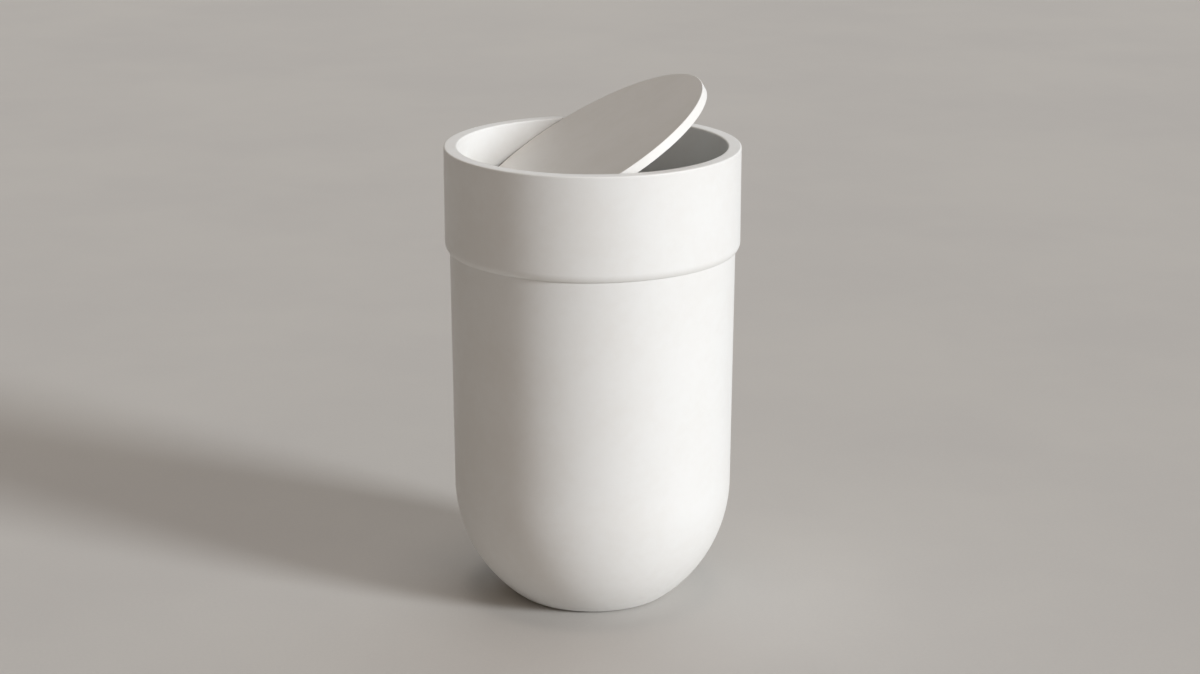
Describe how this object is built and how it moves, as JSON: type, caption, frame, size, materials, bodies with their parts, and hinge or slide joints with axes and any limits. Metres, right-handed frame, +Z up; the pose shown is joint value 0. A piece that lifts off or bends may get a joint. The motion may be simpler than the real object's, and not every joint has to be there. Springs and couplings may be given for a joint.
{
  "type": "swing-top trash can",
  "caption": "Round tapered trash can with a rounded bottom, a lift-off collar and a weighted disc lid that swings open at a touch.",
  "frame": {"origin": "centre of the can's standing ring on the floor, which is also the bottom centre of the bounding box", "axes": "+Z up along the can's axis, Y along the lid's pivot axis, +X towards the raised side of the lid"},
  "size_m": [0.19, 0.19, 0.3403],
  "materials": {
    "can": "satin, very fine grain",
    "collar": "satin, very fine grain",
    "lid": "satin, very fine grain",
    "beam": "matte",
    "bush": "smooth, slightly waxy",
    "weight": "plain cut bar",
    "pin": "turned",
    "screw": "zinc plated"
  },
  "bodies": {
    "can": {"can_shell": "can"},
    "collar": {"collar_shell": "collar", "pivot_bush_front": "bush", "pivot_bush_back": "bush"},
    "lid": {"lid_top": "lid", "lid_underside": "lid", "hinge_beam": "beam", "counterweight_bar": "weight", "pivot_pin_front": "pin", "pivot_pin_back": "pin", "beam_screw_1": "screw", "beam_screw_2": "screw", "beam_screw_3": "screw", "beam_screw_4": "screw"}
  },
  "joints": [
    {"name": "collar_lift", "type": "slide", "parent": "can", "child": "collar", "axis": [0, 0, 1], "range_m": [0, 0.06]},
    {"name": "lid_swing", "type": "hinge", "parent": "collar", "child": "lid", "pos_m": [0, 0, 0.289], "axis": [0, 1, 0], "range_deg": [-52, 112]}
  ]
}
